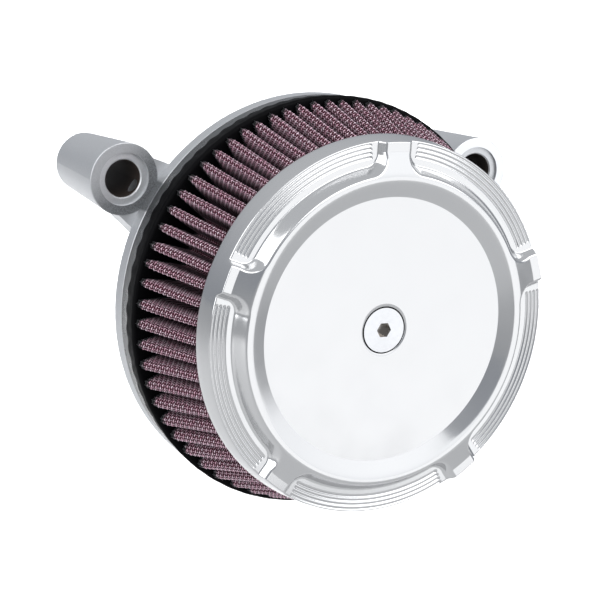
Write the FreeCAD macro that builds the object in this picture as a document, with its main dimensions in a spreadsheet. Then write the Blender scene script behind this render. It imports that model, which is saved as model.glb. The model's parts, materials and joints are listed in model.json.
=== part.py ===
import FreeCAD, Part
import math
import os
import Sketcher

# Round motorcycle air filter with twin breather bosses.
# Frame: the origin is the centre of the intake bore on the backplate's rear mounting face, +Z is up and
# the cover faces -Y. "Forward" below means towards -Y, so a forward distance of 10 is y = -10.

os.makedirs("parts", exist_ok=True)
doc = FreeCAD.newDocument("AirFilter")
V = FreeCAD.Vector

SIZES = [
    # backplate
    ("plate_radius", 83.35),
    ("plate_back", 10.5),
    ("plate_floor", 13.0),
    ("rim_front", 16.75),
    ("rim_inner_radius", 79.6),
    ("rim_round", 0.4),
    ("hub_radius", 38.5),
    ("hub_front", 17.0),
    ("bore_radius", 23.5),
    ("bore_mouth", 2.0),
    ("bolt_circle", 31.15),
    ("bolt_hole_radius", 3.3),
    ("bolt_head_radius", 5.2),
    ("bolt_head_seat", 8.0),
    ("foot_radius", 7.0),
    ("foot_back", 4.0),
    ("foot_hole_radius", 3.0),
    ("foot_hole_depth", 9.5),
    # breather bosses
    ("boss_x", 82.7),
    ("boss_z", 48.7),
    ("boss_face", 11.4),
    ("boss_length", 40.0),
    ("boss_radius", 14.8),
    ("boss_taper", 4.0),
    ("boss_bore_radius", 7.5),
    ("boss_recess_radius", 10.75),
    ("boss_recess_depth", 1.2),
    ("boss_bore_bevel", 0.6),
    ("boss_face_round", 0.4),
    ("neck_width", 24.0),
    ("neck_flare", 33.0),
    ("neck_front", 10.9),
    ("neck_depth", 13.0),
    ("rib_width", 13.0),
    ("rib_back", 1.0),
    ("tunnel_radius", 2.8),
    ("tunnel_forward", 6.0),
    # seals in the backplate
    ("seal_thickness", 0.9),
    ("seal_groove_depth", 1.8),
    ("seal_groove_half", 1.2),
    ("intake_seal_radius", 25.9),
    ("breather_seal_radius", 9.8),
    # filter element
    ("pleat_count", 67),
    ("pleat_phase", 5.14),
    ("pleat_crowding", 0.181),
    ("pleat_crowded_at", 78.5),
    ("pleat_tip_radius", 83.8),
    ("pleat_root_radius", 67.0),
    ("pleat_tip_width", 2.5),
    ("pleat_root_width", 1.6),
    ("pleat_taper", 0.883),
    ("media_thickness", 0.9),
    ("mesh_thickness", 0.25),
    ("rear_cap_back", 13.0),
    ("rear_cap_step", 17.0),
    ("rear_cap_front", 31.3),
    ("rear_cap_seat_radius", 79.2),
    ("rear_cap_radius", 83.4),
    ("rear_cap_front_radius", 85.3),
    ("rear_cap_inner", 64.5),
    ("front_cap_back", 68.5),
    ("front_cap_front", 76.6),
    ("front_cap_radius", 74.1),
    ("front_cap_inner", 57.2),
    ("cap_round", 1.0),
    # bracket, posts and their screws
    ("post_circle", 45.0),
    ("post_flats", 10.0),
    ("post_front", 67.0),
    ("stud_radius", 2.95),
    ("stud_length", 8.0),
    ("post_hole_radius", 3.0),
    ("post_hole_depth", 16.0),
    ("arm_width", 12.0),
    ("arm_front", 71.0),
    ("arm_hole_radius", 3.3),
    ("bracket_hub_radius", 13.0),
    ("bracket_hub_back", 60.5),
    ("bracket_hub_front", 73.2),
    ("insert_radius", 6.4),
    ("insert_bore_radius", 4.82),
    ("washer_radius", 5.2),
    ("washer_hole_radius", 3.2),
    ("washer_thickness", 1.1),
    ("button_radius", 4.75),
    ("button_top_radius", 3.2),
    ("button_height", 3.2),
    ("button_shank", 13.5),
    ("button_socket", 4.0),
    ("button_socket_depth", 1.9),
    # cover
    ("cover_rear", 69.0),
    ("cover_rear_radius", 76.2),
    ("cover_rim_radius", 75.1),
    ("cover_rim_front", 80.9),
    ("cover_rim_round", 0.9),
    ("crest_radius", 61.0),
    ("crest_front", 84.8),
    ("crest_round", 6.8),
    ("disc_radius", 53.3),
    ("disc_front", 82.0),
    ("cover_inside", 76.6),
    ("cover_inside_radius", 74.45),
    ("cover_mouth_radius", 75.0),
    ("cover_boss_radius", 13.0),
    ("cover_boss_back", 73.5),
    ("sink_radius", 9.55),
    ("sink_edge", 81.5),
    ("sink_bottom", 76.5),
    ("sink_bore_radius", 5.2),
    # pads sunk into the cover
    ("spoke_count", 5),
    ("pad_floor", 78.9),
    ("pad_top", 86.0),
    ("pad_outer_radius", 82.0),
    ("pad_floor_inner", 65.6),
    ("pad_top_inner", 61.8),
    ("spoke_half_floor", 7.3),
    ("spoke_half_top", 3.5),
    ("pad_corner", 4.5),
    ("pad_edge_width", 0.6),
    ("pad_edge_height", 1.4),
    ("line_count", 4),
    ("line_first_radius", 69.05),
    ("line_pitch", 1.72),
    ("line_half_width", 0.42),
    ("line_bed_half", 0.2),
    ("line_depth", 0.5),
    ("line_above", 0.3),
    ("line_angle", 56.0),
    # centre screw and its seal
    ("screw_head_radius", 9.0),
    ("screw_head_edge", 81.6),
    ("screw_cone_end", 76.65),
    ("screw_radius", 4.75),
    ("screw_tip", 56.6),
    ("screw_tip_bevel", 1.0),
    ("screw_socket", 5.56),
    ("screw_socket_depth", 4.2),
    ("seal_gap", 0.04),
    ("screw_seal_front", 81.2),
    ("screw_seal_back", 78.0),
]

sheet = doc.addObject("Spreadsheet::Sheet", "Sizes")
for row, (alias, value) in enumerate(SIZES, start=1):
    sheet.set("A%d" % row, alias)
    sheet.set("B%d" % row, str(value))
    sheet.setAlias("B%d" % row, alias)
doc.recompute()


class Size:
    """A length worked out from cells of the sheet: its number now, and the expression that binds it."""

    def __init__(self, number, text):
        self.number = number
        self.text = text

    def join(self, sign, other, number):
        text = other.text if isinstance(other, Size) else repr(other)
        return Size(number, "(%s %s %s)" % (self.text, sign, text))

    def __add__(self, other):
        return self.join("+", other, self.number + plain(other))

    def __sub__(self, other):
        return self.join("-", other, self.number - plain(other))

    def __mul__(self, other):
        return self.join("*", other, self.number * plain(other))

    def __truediv__(self, other):
        return self.join("/", other, self.number / plain(other))

    def __neg__(self):
        return self * -1


def plain(value):
    """The number of a Size, or of a plain number."""
    return value.number if isinstance(value, Size) else float(value)


class Cells:
    """Every cell of the sheet as a Size, by its alias."""

    def __getattr__(self, alias):
        return Size(float(sheet.get(alias)), "Sizes." + alias)


size = Cells()
ZERO = Size(0.0, "0")
FORWARD = FreeCAD.Rotation(V(1, 0, 0), 90)


# ---------------------------------------------------------------- sketches

def new_body(label):
    body = doc.addObject("PartDesign::Body", label)
    body.Label = label
    return body


def sketch_on(body, name, role, turn=FreeCAD.Rotation()):
    """A sketch on one of the body's own origin planes, turned about that plane's origin."""
    sketch = body.newObject("Sketcher::SketchObject", name)
    plane = next(item for item in body.Origin.OriginFeatures if item.Role == role)
    sketch.AttachmentSupport = [(plane, "")]
    sketch.MapMode = "FlatFace"
    sketch.AttachmentOffset = FreeCAD.Placement(V(0, 0, 0), turn)
    return sketch


def profile_sketch(body, name):
    """A sketch for turned shapes: x is the radius, upwards, and y runs forward along the part's axis."""
    return sketch_on(body, name, "YZ_Plane", FreeCAD.Rotation(V(0, 0, 1), 90))


def face_sketch(body, name, forward):
    """A sketch seen from the front: x is X, y is Z, and it lies at a distance forward."""
    sketch = sketch_on(body, name, "XZ_Plane")
    sketch.AttachmentOffset = FreeCAD.Placement(V(0, 0, forward.number), FreeCAD.Rotation())
    sketch.setExpression("AttachmentOffset.Base.z", forward.text)
    return sketch


def bind(sketch, constraint, amount, unit=""):
    index = sketch.addConstraint(constraint)
    sketch.setExpression("Constraints[%d]" % index, amount.text + unit)


def pin_point(sketch, item, end, x, y):
    """Hold a point at x and y from the sketch's origin."""
    if x.number == 0:
        sketch.addConstraint(Sketcher.Constraint("PointOnObject", item, end, -2))
    else:
        bind(sketch, Sketcher.Constraint("DistanceX", -1, 1, item, end, x.number), x)
    if y.number == 0:
        sketch.addConstraint(Sketcher.Constraint("PointOnObject", item, end, -1))
    else:
        bind(sketch, Sketcher.Constraint("DistanceY", -1, 1, item, end, y.number), y)


def outline(sketch, corners):
    """A closed loop of straight lines through the corners."""
    points = [V(x.number, y.number, 0) for x, y in corners]
    first = sketch.GeometryCount
    count = len(points)
    for index, point in enumerate(points):
        sketch.addGeometry(Part.LineSegment(point, points[(index + 1) % count]), False)
    for index in range(count):
        after = first + (index + 1) % count
        sketch.addConstraint(Sketcher.Constraint("Coincident", first + index, 2, after, 1))
    for index, (x, y) in enumerate(corners):
        pin_point(sketch, first + index, 1, x, y)


def circle(sketch, radius, x=ZERO, y=ZERO):
    shape = Part.Circle(V(x.number, y.number, 0), V(0, 0, 1), radius.number)
    item = sketch.addGeometry(shape, False)
    bind(sketch, Sketcher.Constraint("Radius", item, radius.number), radius)
    pin_point(sketch, item, 3, x, y)


def hexagon(sketch, flats):
    """A hexagon with two corners on the sketch's x axis, by its width across the flats."""
    reach = flats / math.sqrt(3)
    corners = []
    for step in range(6):
        angle = math.radians(60 * step)
        across = reach * round(math.cos(angle), 12)
        up = reach * round(math.sin(angle), 12)
        corners.append((across, up))
    outline(sketch, corners)


# ---------------------------------------------------------------- features

def revolve(body, name, sketch):
    feature = body.newObject("PartDesign::Revolution", name)
    feature.Profile = sketch
    feature.ReferenceAxis = (sketch, ["V_Axis"])
    feature.Angle = 360
    body.Tip = feature
    return feature


def pad(body, name, sketch, length, backward=False, taper=None):
    feature = body.newObject("PartDesign::Pad", name)
    feature.Profile = sketch
    feature.setExpression("Length", length.text)
    feature.Reversed = backward
    if taper is not None:
        feature.setExpression("TaperAngle", taper.text)
    body.Tip = feature
    return feature


def pocket(body, name, sketch, length, forward=False):
    """Cut from the sketch towards the back of the part, or forward."""
    feature = body.newObject("PartDesign::Pocket", name)
    feature.Profile = sketch
    feature.setExpression("Length", length.text)
    feature.Reversed = forward
    body.Tip = feature
    return feature


def ring_of(body, name, features, sketch, count):
    """Repeat features round the part's axis, which is the sketch's normal."""
    feature = body.newObject("PartDesign::PolarPattern", name)
    feature.Originals = features
    feature.Axis = (sketch, ["N_Axis"])
    feature.Angle = 360
    feature.Occurrences = int(count)
    body.Tip = feature
    return feature


def mirrored(body, name, features, sketch):
    """Repeat features on the other side of the part's middle plane."""
    feature = body.newObject("PartDesign::Mirrored", name)
    feature.Originals = features
    feature.MirrorPlane = (sketch, ["V_Axis"])
    body.Tip = feature
    return feature


def circle_edges(shape, radius, forward, x=0.0, z=0.0):
    """The names of a shape's edges on one circle about the forward axis through x and z."""
    names = []
    for index, edge in enumerate(shape.Edges, start=1):
        points = edge.discretize(5)
        off = [abs(math.hypot(point.x - x, point.z - z) - radius) for point in points]
        off += [abs(-point.y - forward) for point in points]
        if max(off) < 0.02:
            names.append("Edge%d" % index)
    return names


def fillet(body, name, base, edges, radius):
    feature = body.newObject("PartDesign::Fillet", name)
    feature.Base = (base, edges)
    feature.setExpression("Radius", radius.text)
    body.Tip = feature
    return feature


# ---------------------------------------------------------------- backplate

NECK_ANGLE = math.degrees(math.atan2(size.boss_z.number, size.boss_x.number))
POST_ANGLES = (60, 180, 300)
BOLT_ANGLES = (90, 210, 330)


def polar(distance, degrees):
    """x and z of a point at a distance from the axis, as Sizes."""
    angle = math.radians(degrees)
    return distance * round(math.cos(angle), 12), distance * round(math.sin(angle), 12)


def along_neck(outward, sideways):
    """A point of the neck's outline, from its distances along and across the line to the boss."""
    angle = math.radians(NECK_ANGLE)
    x = outward * math.cos(angle) - sideways * math.sin(angle)
    z = outward * math.sin(angle) + sideways * math.cos(angle)
    return x, z


def make_plate_disc(body):
    sketch = profile_sketch(body, "plate_profile")
    outline(sketch, [
        (size.bore_radius, ZERO),
        (size.hub_radius, ZERO),
        (size.hub_radius, size.plate_back),
        (size.plate_radius, size.plate_back),
        (size.plate_radius, size.rim_front),
        (size.rim_inner_radius, size.rim_front),
        (size.rim_inner_radius, size.plate_floor),
        (size.hub_radius, size.plate_floor),
        (size.hub_radius, size.hub_front),
        (size.bore_radius + size.bore_mouth, size.hub_front),
        (size.bore_radius, size.hub_front - size.bore_mouth),
    ])
    disc = revolve(body, "plate_disc", sketch)
    doc.recompute()
    edges = circle_edges(disc.Shape, size.plate_radius.number, size.rim_front.number)
    edges += circle_edges(disc.Shape, size.plate_radius.number, size.plate_back.number)
    fillet(body, "rim_round", disc, edges, size.rim_round)


def make_right_boss(body):
    """The features of one breather boss with its neck and rib, to be mirrored."""
    boss_sketch = face_sketch(body, "boss_circle", size.boss_face)
    circle(boss_sketch, size.boss_radius, size.boss_x, size.boss_z)
    boss = pad(body, "boss", boss_sketch, size.boss_length, backward=True, taper=-size.boss_taper)

    reach = math.hypot(size.boss_x.number, size.boss_z.number) / size.boss_x.number
    neck_sketch = face_sketch(body, "neck_outline", size.neck_front)
    outer = size.boss_x * reach
    inner = size.rim_inner_radius - size.neck_depth / 2
    outline(neck_sketch, [
        along_neck(inner, -size.neck_flare / 2),
        along_neck(outer, -size.neck_width / 2),
        along_neck(outer, size.neck_width / 2),
        along_neck(inner, size.neck_flare / 2),
    ])
    neck = pad(body, "neck", neck_sketch, size.neck_depth, backward=True)

    rib_sketch = face_sketch(body, "rib_outline", size.neck_front)
    rib_start = size.hub_radius - size.bore_mouth
    outline(rib_sketch, [
        along_neck(rib_start, -size.rib_width / 2),
        along_neck(outer, -size.rib_width / 2),
        along_neck(outer, size.rib_width / 2),
        along_neck(rib_start, size.rib_width / 2),
    ])
    rib = pad(body, "rib", rib_sketch, size.neck_front - size.rib_back, backward=True)
    return boss_sketch, [boss, neck, rib]


def soften_bosses(body, base):
    """Bevel the mouths of the two bores, and round the edges of the boss faces."""
    doc.recompute()
    mouth = size.boss_face.number - size.boss_recess_depth.number
    place = (size.boss_x.number, size.boss_z.number)
    mouths = []
    for side in (1, -1):
        mouths += circle_edges(base.Shape, size.boss_bore_radius.number, mouth, side * place[0], place[1])
    bevel = body.newObject("PartDesign::Chamfer", "boss_bore_bevel")
    bevel.Base = (base, mouths)
    bevel.setExpression("Size", size.boss_bore_bevel.text)
    body.Tip = bevel
    doc.recompute()
    faces = []
    for side in (1, -1):
        radius = size.boss_radius.number
        faces += circle_edges(bevel.Shape, radius, size.boss_face.number, side * place[0], place[1])
    fillet(body, "boss_face_round", bevel, faces, size.boss_face_round)


def make_backplate():
    body = new_body("backplate")
    make_plate_disc(body)
    boss_sketch, raised = make_right_boss(body)
    mirrored(body, "left_boss", raised, boss_sketch)

    x, z = polar(size.post_circle, POST_ANGLES[0])
    foot_sketch = face_sketch(body, "foot_circle", size.foot_back)
    circle(foot_sketch, size.foot_radius, x, z)
    foot = pad(body, "foot", foot_sketch, size.hub_front - size.foot_back)
    ring_of(body, "feet", [foot], foot_sketch, len(POST_ANGLES))
    hole_sketch = face_sketch(body, "foot_hole_circle", size.hub_front)
    circle(hole_sketch, size.foot_hole_radius, x, z)
    foot_hole = pocket(body, "foot_hole", hole_sketch, size.foot_hole_depth)
    ring_of(body, "foot_holes", [foot_hole], hole_sketch, len(POST_ANGLES))

    x, z = polar(size.bolt_circle, BOLT_ANGLES[0])
    bolt_sketch = face_sketch(body, "bolt_hole_circle", size.hub_front)
    circle(bolt_sketch, size.bolt_hole_radius, x, z)
    bolt_hole = pocket(body, "bolt_hole", bolt_sketch, size.hub_front + 1)
    head_sketch = face_sketch(body, "bolt_head_circle", size.hub_front)
    circle(head_sketch, size.bolt_head_radius, x, z)
    bolt_head = pocket(body, "bolt_head", head_sketch, size.hub_front - size.bolt_head_seat)
    ring_of(body, "bolt_holes", [bolt_hole, bolt_head], head_sketch, len(BOLT_ANGLES))

    seal_sketch = face_sketch(body, "intake_seal_rings", ZERO)
    circle(seal_sketch, size.intake_seal_radius + size.seal_groove_half)
    circle(seal_sketch, size.intake_seal_radius - size.seal_groove_half)
    pocket(body, "intake_seal_groove", seal_sketch, size.seal_groove_depth, forward=True)

    bore_sketch = face_sketch(body, "boss_bore_circle", size.boss_face)
    circle(bore_sketch, size.boss_bore_radius, size.boss_x, size.boss_z)
    bore = pocket(body, "boss_bore", bore_sketch, size.boss_length + 1)
    recess_sketch = face_sketch(body, "boss_recess_circle", size.boss_face)
    circle(recess_sketch, size.boss_recess_radius, size.boss_x, size.boss_z)
    recess = pocket(body, "boss_recess", recess_sketch, size.boss_recess_depth)
    rear_sketch = face_sketch(body, "breather_seal_rings", size.boss_face - size.boss_length)
    circle(rear_sketch, size.breather_seal_radius + size.seal_groove_half, size.boss_x, size.boss_z)
    circle(rear_sketch, size.breather_seal_radius - size.seal_groove_half, size.boss_x, size.boss_z)
    groove = pocket(body, "breather_seal_groove", rear_sketch, size.seal_groove_depth, forward=True)

    tilt = FreeCAD.Rotation(V(1, 0, 0), -NECK_ANGLE)
    tunnel_sketch = sketch_on(body, "tunnel_circle", "YZ_Plane", tilt)
    circle(tunnel_sketch, size.tunnel_radius, -size.tunnel_forward, ZERO)
    tunnel = pocket(body, "tunnel", tunnel_sketch, size.boss_x * 1.12, forward=True)
    cuts = mirrored(body, "left_boss_cuts", [bore, recess, groove, tunnel], bore_sketch)
    soften_bosses(body, cuts)
    return body


# ---------------------------------------------------------------- seals, washers and posts

def ring_primitive(name, kind, centre, forward):
    """A primitive whose own axis points forward, with its base at x, z and a distance forward."""
    item = doc.addObject(kind, name)
    item.Placement = FreeCAD.Placement(V(0, 0, 0), FORWARD)
    x, z = centre
    item.setExpression(".Placement.Base.x", x.text)
    item.setExpression(".Placement.Base.y", (-forward).text)
    item.setExpression(".Placement.Base.z", z.text)
    return item


def make_seal(name, radius, centre, rear_face):
    """An O-ring lying in a groove, flush with the rear face it seals."""
    item = ring_primitive(name, "Part::Torus", centre, rear_face + size.seal_thickness)
    item.setExpression("Radius1", radius.text)
    item.setExpression("Radius2", size.seal_thickness.text)
    return item


def rod(name, radius, back, front, centre=(ZERO, ZERO)):
    item = ring_primitive(name, "Part::Cylinder", centre, back)
    item.setExpression("Radius", radius.text)
    item.setExpression("Height", (front - back).text)
    return item


def cut(name, base, tool):
    item = doc.addObject("Part::Cut", name)
    item.Base = base
    item.Tool = tool
    return item


def tube(name, outer, inner, back, front, centre=(ZERO, ZERO)):
    outside = rod(name + "_outside", outer, back, front, centre)
    inside = rod(name + "_inside", inner, back - 1, front + 1, centre)
    return cut(name, outside, inside)


def make_post(number, angle):
    """A hexagonal post with a stud into the backplate and a tapped hole for the bracket's screw."""
    name = "post_%d" % number
    centre = polar(size.post_circle, angle)
    bar = ring_primitive(name + "_bar", "Part::Prism", centre, size.hub_front)
    bar.Polygon = 6
    bar.setExpression("Circumradius", (size.post_flats / math.sqrt(3)).text)
    bar.setExpression("Height", (size.post_front - size.hub_front).text)
    back = size.hub_front - size.stud_length
    stud = rod(name + "_stud", size.stud_radius, back, size.hub_front + 1, centre)
    whole = doc.addObject("Part::Fuse", name + "_whole")
    whole.Base = bar
    whole.Tool = stud
    floor = size.post_front - size.post_hole_depth
    hole = rod(name + "_hole", size.post_hole_radius, floor, size.post_front + 1, centre)
    return cut(name, whole, hole)


def make_washer(number, angle):
    centre = polar(size.post_circle, angle)
    front = size.arm_front + size.washer_thickness
    name = "bracket_washer_%d" % number
    return tube(name, size.washer_radius, size.washer_hole_radius, size.arm_front, front, centre)


def make_button_screw(number, angle):
    """A button-head screw, turned on its own axis and then moved out to its post."""
    body = new_body("bracket_screw_%d" % number)
    seat = size.arm_front + size.washer_thickness
    sketch = profile_sketch(body, "button_profile_%d" % number)
    outline(sketch, [
        (ZERO, seat - size.button_shank),
        (size.stud_radius, seat - size.button_shank),
        (size.stud_radius, seat),
        (size.button_radius, seat),
        (size.button_radius, seat + size.button_height / 3),
        (size.button_top_radius, seat + size.button_height),
        (ZERO, seat + size.button_height),
    ])
    revolve(body, "button_%d" % number, sketch)
    socket_sketch = face_sketch(body, "button_hexagon_%d" % number, seat + size.button_height)
    hexagon(socket_sketch, size.button_socket)
    pocket(body, "button_socket_%d" % number, socket_sketch, size.button_socket_depth)
    x, z = polar(size.post_circle, angle)
    body.setExpression(".Placement.Base.x", x.text)
    body.setExpression(".Placement.Base.z", z.text)
    return body


# ---------------------------------------------------------------- bracket

def make_bracket():
    body = new_body("support_bracket")
    hub_sketch = face_sketch(body, "bracket_hub_circle", size.bracket_hub_back)
    circle(hub_sketch, size.bracket_hub_radius)
    pad(body, "bracket_hub", hub_sketch, size.bracket_hub_front - size.bracket_hub_back)
    thickness = size.arm_front - size.post_front
    half = size.arm_width / 2
    arm_sketch = face_sketch(body, "arm_outline", size.post_front)
    outline(arm_sketch, [
        (-size.post_circle, -half),
        (ZERO, -half),
        (ZERO, half),
        (-size.post_circle, half),
    ])
    arm = pad(body, "arm", arm_sketch, thickness)
    end_sketch = face_sketch(body, "arm_end_circle", size.post_front)
    circle(end_sketch, half, -size.post_circle, ZERO)
    arm_end = pad(body, "arm_end", end_sketch, thickness)
    ring_of(body, "arms", [arm, arm_end], arm_sketch, len(POST_ANGLES))
    hole_sketch = face_sketch(body, "arm_hole_circle", size.arm_front)
    circle(hole_sketch, size.arm_hole_radius, -size.post_circle, ZERO)
    hole = pocket(body, "arm_hole", hole_sketch, thickness + 1)
    ring_of(body, "arm_holes", [hole], hole_sketch, len(POST_ANGLES))
    bore_sketch = face_sketch(body, "insert_bore_circle", size.bracket_hub_front)
    circle(bore_sketch, size.insert_radius)
    pocket(body, "insert_bore", bore_sketch, size.bracket_hub_front - size.bracket_hub_back + 1)
    return body


# ---------------------------------------------------------------- filter element

def pleat_angle(turns):
    """The angle of a fold, by its count round the element: the folds crowd together on one side."""
    even = 2 * math.pi * turns / size.pleat_count.number + math.radians(size.pleat_phase.number)
    from_crowd = even - math.radians(size.pleat_crowded_at.number)
    return even - size.pleat_crowding.number * math.sin(from_crowd)


def pleat_loop():
    """One closed zigzag loop, halfway through the folded sheet at its wide rear end, in x and z."""
    count = int(size.pleat_count.number)
    middle = (size.media_thickness.number + 2 * size.mesh_thickness.number) / 2
    tip = size.pleat_tip_radius.number - middle
    root = size.pleat_root_radius.number + middle
    tip_turn = size.pleat_tip_width.number / 2 / tip
    root_turn = size.pleat_root_width.number / 2 / root
    points = []
    for number in range(count):
        tip_angle = pleat_angle(number)
        root_angle = pleat_angle(number + 0.5)
        for radius, angle in (
            (tip, tip_angle - tip_turn),
            (tip, tip_angle + tip_turn),
            (root, root_angle - root_turn),
            (root, root_angle + root_turn),
        ):
            points.append((radius * math.cos(angle), radius * math.sin(angle)))
    return points


def shifted_loop(points, distance):
    """The loop moved outward by a distance, with mitred corners."""
    moved = []
    for index, (x, z) in enumerate(points):
        before = points[index - 1]
        after = points[(index + 1) % len(points)]
        normals = []
        for start, end in ((before, (x, z)), ((x, z), after)):
            run = math.hypot(end[0] - start[0], end[1] - start[1])
            normals.append(((end[1] - start[1]) / run, -(end[0] - start[0]) / run))
        across = normals[0][0] + normals[1][0], normals[0][1] + normals[1][1]
        scale = 2 * distance / (across[0] ** 2 + across[1] ** 2)
        moved.append((x + across[0] * scale, z + across[1] * scale))
    return moved


def pleated_solid(points):
    """A solid whose rear end is the loop, and whose front end is the same loop made smaller."""
    rear_end = size.rear_cap_front.number, 1.0
    front_end = size.front_cap_back.number, size.pleat_taper.number
    wires = []
    for forward, scale in (rear_end, front_end):
        corners = [V(x * scale, -forward, z * scale) for x, z in points]
        wires.append(Part.makePolygon(corners + corners[:1]))
    return Part.makeLoft(wires, True, True)


def make_pleated_layers():
    """The folded sheet in three layers, each between two loops: outer mesh, media and inner mesh."""
    media = size.media_thickness.number
    mesh = size.mesh_thickness.number
    middle = pleat_loop()
    edges = (media / 2 + mesh, media / 2, -media / 2, -media / 2 - mesh)
    solids = [pleated_solid(shifted_loop(middle, distance)) for distance in edges]
    layers = []
    for number, name in enumerate(("outer_mesh", "pleated_media", "inner_mesh")):
        layer = doc.addObject("Part::Feature", name)
        layer.Shape = solids[number].cut(solids[number + 1])
        layers.append(layer)
    return layers


def make_cap(name, corners, round_at):
    """A moulded ring with one rounded outer corner."""
    body = new_body(name)
    sketch = profile_sketch(body, name + "_profile")
    outline(sketch, corners)
    ring = revolve(body, name + "_ring", sketch)
    doc.recompute()
    radius, forward = corners[round_at]
    edges = circle_edges(ring.Shape, radius.number, forward.number)
    fillet(body, name + "_round", ring, edges, size.cap_round)
    return body


def make_rear_cap():
    """The thick ring that the folds stand in: its foot sits in the backplate and its side flares."""
    return make_cap("rear_end_cap", [
        (size.rear_cap_inner, size.rear_cap_back),
        (size.rear_cap_seat_radius, size.rear_cap_back),
        (size.rear_cap_seat_radius, size.rear_cap_step),
        (size.rear_cap_radius, size.rear_cap_step),
        (size.rear_cap_front_radius, size.rear_cap_front),
        (size.rear_cap_inner, size.rear_cap_front),
    ], 4)


def make_front_cap():
    return make_cap("front_end_cap", [
        (size.front_cap_inner, size.front_cap_back),
        (size.front_cap_radius, size.front_cap_back),
        (size.front_cap_radius, size.front_cap_front),
        (size.front_cap_inner, size.front_cap_front),
    ], 2)


# ---------------------------------------------------------------- cover

def make_cover_blank(body):
    sketch = profile_sketch(body, "cover_profile")
    outline(sketch, [
        (size.sink_bore_radius, size.cover_boss_back),
        (size.cover_boss_radius, size.cover_boss_back),
        (size.cover_boss_radius, size.cover_inside),
        (size.cover_inside_radius, size.cover_inside),
        (size.cover_mouth_radius, size.cover_rear),
        (size.cover_rear_radius, size.cover_rear),
        (size.cover_rim_radius, size.cover_rim_front),
        (size.crest_radius, size.crest_front),
        (size.disc_radius, size.disc_front),
        (size.sink_radius, size.disc_front),
        (size.sink_radius, size.sink_edge),
        (size.sink_bore_radius, size.sink_bottom),
    ])
    blank = revolve(body, "cover_blank", sketch)
    doc.recompute()
    edges = circle_edges(blank.Shape, size.crest_radius.number, size.crest_front.number)
    crest = fillet(body, "crest_round", blank, edges, size.crest_round)
    doc.recompute()
    edges = circle_edges(crest.Shape, size.cover_rim_radius.number, size.cover_rim_front.number)
    return fillet(body, "cover_rim_round", crest, edges, size.cover_rim_round)


def make_pad_hollows():
    """The room above the five pads: a ring with sloping inner and end walls, parted by the spokes."""
    body = new_body("pad_hollows")
    ring_sketch = profile_sketch(body, "hollow_profile")
    outline(ring_sketch, [
        (size.pad_floor_inner, size.pad_floor),
        (size.pad_outer_radius, size.pad_floor),
        (size.pad_outer_radius, size.pad_top),
        (size.pad_top_inner, size.pad_top),
    ])
    revolve(body, "hollow_ring", ring_sketch)
    spoke_sketch = sketch_on(body, "spoke_profile", "XY_Plane", FreeCAD.Rotation(V(1, 0, 0), 180))
    outline(spoke_sketch, [
        (-size.spoke_half_floor, size.pad_floor),
        (size.spoke_half_floor, size.pad_floor),
        (size.spoke_half_top, size.pad_top),
        (-size.spoke_half_top, size.pad_top),
    ])
    spoke = pocket(body, "spoke", spoke_sketch, size.pad_outer_radius + 1)
    spokes = ring_of(body, "spokes", [spoke], ring_sketch, size.spoke_count.number)
    spokes.Axis = (ring_sketch, ["V_Axis"])
    doc.recompute()
    corners = []
    for index, edge in enumerate(spokes.Shape.Edges, start=1):
        ends = [vertex.Point for vertex in edge.Vertexes]
        slopes = len(ends) == 2 and abs(ends[0].y - ends[1].y) > 1
        if slopes and math.hypot(ends[0].x, ends[0].z) < size.cover_inside_radius.number:
            corners.append("Edge%d" % index)
    fillet(body, "hollow_corners", spokes, corners, size.pad_corner)
    return body


def make_pad_lines(body):
    """The fine round lines cut into one pad, as one turned cut centred below the axis."""
    sketch = sketch_on(body, "line_profiles", "YZ_Plane", FreeCAD.Rotation(V(0, 0, 1), 180))
    mouth = size.pad_floor + size.line_above
    bed = size.pad_floor - size.line_depth
    for number in range(int(size.line_count.number)):
        middle = size.line_first_radius + size.line_pitch * number
        outline(sketch, [
            (mouth, middle - size.line_half_width),
            (mouth, middle + size.line_half_width),
            (bed, middle + size.line_bed_half),
            (bed, middle - size.line_bed_half),
        ])
    feature = body.newObject("PartDesign::Groove", "pad_lines")
    feature.Profile = sketch
    feature.ReferenceAxis = (sketch, ["H_Axis"])
    feature.setExpression("Angle", size.line_angle.text)
    feature.Midplane = True
    body.Tip = feature
    return feature, sketch


def make_cover():
    body = new_body("cover")
    make_cover_blank(body)
    hollows = body.newObject("PartDesign::Boolean", "pads")
    hollows.Type = "Cut"
    hollows.setObjects([make_pad_hollows()])
    body.Tip = hollows
    doc.recompute()
    slope = (size.cover_rear_radius - size.cover_rim_radius) / (size.cover_rim_front - size.cover_rear)
    wall = size.cover_rear_radius - slope * (size.pad_floor - size.cover_rear)
    bevel = body.newObject("PartDesign::Chamfer", "pad_edge_bevel")
    bevel.Base = (hollows, circle_edges(hollows.Shape, wall.number, size.pad_floor.number))
    bevel.ChamferType = "Two distances"
    bevel.setExpression("Size", size.pad_edge_width.text)
    bevel.setExpression("Size2", size.pad_edge_height.text)
    body.Tip = bevel
    lines, line_sketch = make_pad_lines(body)
    all_lines = ring_of(body, "all_pad_lines", [lines], line_sketch, size.spoke_count.number)
    all_lines.Axis = (line_sketch, ["H_Axis"])
    return body


# ---------------------------------------------------------------- centre screw and its seal

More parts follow.
